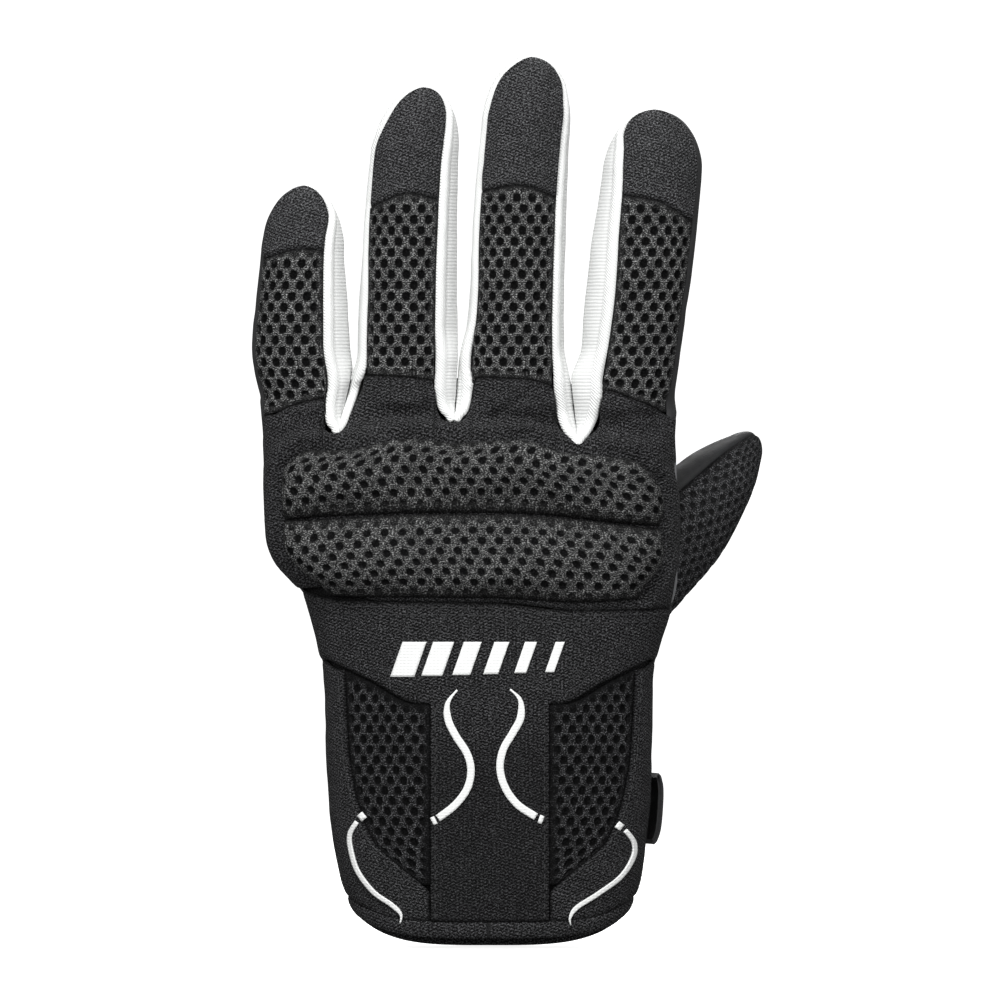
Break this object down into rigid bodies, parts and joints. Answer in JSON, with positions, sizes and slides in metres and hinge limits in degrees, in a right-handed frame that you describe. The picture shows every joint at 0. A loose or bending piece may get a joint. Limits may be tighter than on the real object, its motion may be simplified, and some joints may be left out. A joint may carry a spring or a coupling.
{
  "type": "riding glove",
  "caption": "Left-hand short-cuff riding glove: padded knuckles, mesh-backed fingers with white side strips, leather palm, bending fingers and a closing wrist strap.",
  "frame": {"origin": "centre of the cuff opening, level with the lowest point of its hem", "axes": "+Z from the cuff to the fingertips, +Y the palm side, -Y the back of the hand, +X the thumb side"},
  "size_m": [0.1378, 0.0671, 0.2402],
  "materials": {
    "knit": "matte flecked knit",
    "air_mesh": "matte open spacer mesh",
    "stretch_strips": "white ribbed stretch",
    "leather": "smooth suede-like synthetic",
    "palm_patch": "smooth synthetic over padding",
    "foam": "matte foam",
    "webbing": "woven tape",
    "hook_and_loop": "matte hook and loop tape",
    "label": "woven label"
  },
  "bodies": {
    "hand": {"back_panel": "knit", "little_ring_web": "stretch_strips", "ring_middle_web": "stretch_strips", "middle_index_web": "stretch_strips", "knuckle_cover_upper": "air_mesh", "knuckle_cover_lower": "air_mesh", "knuckle_foam_upper": "foam", "knuckle_foam_lower": "foam", "cuff_yoke": "knit", "cuff_centre": "knit", "cuff_mesh_little_side": "air_mesh", "cuff_mesh_thumb_side": "air_mesh", "cuff_flank_little_side": "knit", "cuff_flank_thumb_side": "knit", "cuff_palm": "knit", "cuff_binding": "webbing", "wrist_elastic": "knit", "palm_panel": "leather", "palm_patch": "palm_patch", "thumb_gusset": "leather", "loop_patch": "hook_and_loop", "size_label": "label"},
    "little_base": {"little_mesh_lower": "air_mesh", "little_front_lower": "leather", "little_thumb_side_lower": "stretch_strips"},
    "little_tip": {"little_mesh_upper": "air_mesh", "little_cap": "knit", "little_front_upper": "leather", "little_thumb_side_upper": "stretch_strips"},
    "ring_base": {"ring_mesh_lower": "air_mesh", "ring_front_lower": "leather", "ring_thumb_side_lower": "stretch_strips", "ring_little_side_lower": "stretch_strips"},
    "ring_tip": {"ring_mesh_upper": "air_mesh", "ring_cap": "knit", "ring_front_upper": "leather", "ring_thumb_side_upper": "stretch_strips", "ring_little_side_upper": "stretch_strips"},
    "middle_base": {"middle_mesh_lower": "air_mesh", "middle_front_lower": "leather", "middle_thumb_side_lower": "stretch_strips", "middle_little_side_lower": "stretch_strips"},
    "middle_tip": {"middle_mesh_upper": "air_mesh", "middle_cap": "knit", "middle_front_upper": "leather", "middle_thumb_side_upper": "stretch_strips", "middle_little_side_upper": "stretch_strips"},
    "index_base": {"index_mesh_lower": "air_mesh", "index_front_lower": "leather", "index_little_side_lower": "stretch_strips"},
    "index_tip": {"index_mesh_upper": "air_mesh", "index_cap": "knit", "index_front_upper": "leather", "index_little_side_upper": "stretch_strips"},
    "thumb_base": {"thumb_mesh_lower": "air_mesh", "thumb_front_lower": "leather"},
    "thumb_tip": {"thumb_mesh_upper": "air_mesh", "thumb_front_upper": "leather"},
    "wrist_strap": {"strap": "webbing", "hook_patch": "hook_and_loop"}
  },
  "joints": [
    {"name": "little_knuckle", "type": "hinge", "parent": "hand", "child": "little_base", "pos_m": [-0.0495, 0.013, 0.149], "axis": [-1, 0, 0], "range_deg": [0, 70]},
    {"name": "little_middle_joint", "type": "hinge", "parent": "little_base", "child": "little_tip", "pos_m": [-0.0495, 0.01391, 0.171], "axis": [-1, 0, 0], "range_deg": [0, 80]},
    {"name": "ring_knuckle", "type": "hinge", "parent": "hand", "child": "ring_base", "pos_m": [-0.0223, 0.0118, 0.149], "axis": [-1, 0, 0], "range_deg": [0, 70]},
    {"name": "ring_middle_joint", "type": "hinge", "parent": "ring_base", "child": "ring_tip", "pos_m": [-0.0223, 0.01319, 0.186], "axis": [-1, 0, 0], "range_deg": [0, 80]},
    {"name": "middle_knuckle", "type": "hinge", "parent": "hand", "child": "middle_base", "pos_m": [0.0067, 0.0112, 0.149], "axis": [-1, 0, 0], "range_deg": [0, 70]},
    {"name": "middle_middle_joint", "type": "hinge", "parent": "middle_base", "child": "middle_tip", "pos_m": [0.0067, 0.01281, 0.19], "axis": [-1, 0, 0], "range_deg": [0, 80]},
    {"name": "index_knuckle", "type": "hinge", "parent": "hand", "child": "index_base", "pos_m": [0.0374, 0.0122, 0.149], "axis": [-1, 0, 0], "range_deg": [0, 60]},
    {"name": "index_middle_joint", "type": "hinge", "parent": "index_base", "child": "index_tip", "pos_m": [0.0374, 0.01341, 0.181], "axis": [-1, 0, 0], "range_deg": [0, 65]},
    {"name": "thumb_base_joint", "type": "hinge", "parent": "hand", "child": "thumb_base", "pos_m": [0.04181, 0.03579, 0.11347], "axis": [-0.4945, -0.5619, 0.6632], "range_deg": [0, 20]},
    {"name": "thumb_tip_joint", "type": "hinge", "parent": "thumb_base", "child": "thumb_tip", "pos_m": [0.05345, 0.03962, 0.1254], "axis": [-0.4945, -0.5619, 0.6632], "range_deg": [0, 35]},
    {"name": "strap_hinge", "type": "hinge", "parent": "hand", "child": "wrist_strap", "pos_m": [0.0439, -0.002, 0.0375], "axis": [0, 0, -1], "range_deg": [0, 100]}
  ]
}
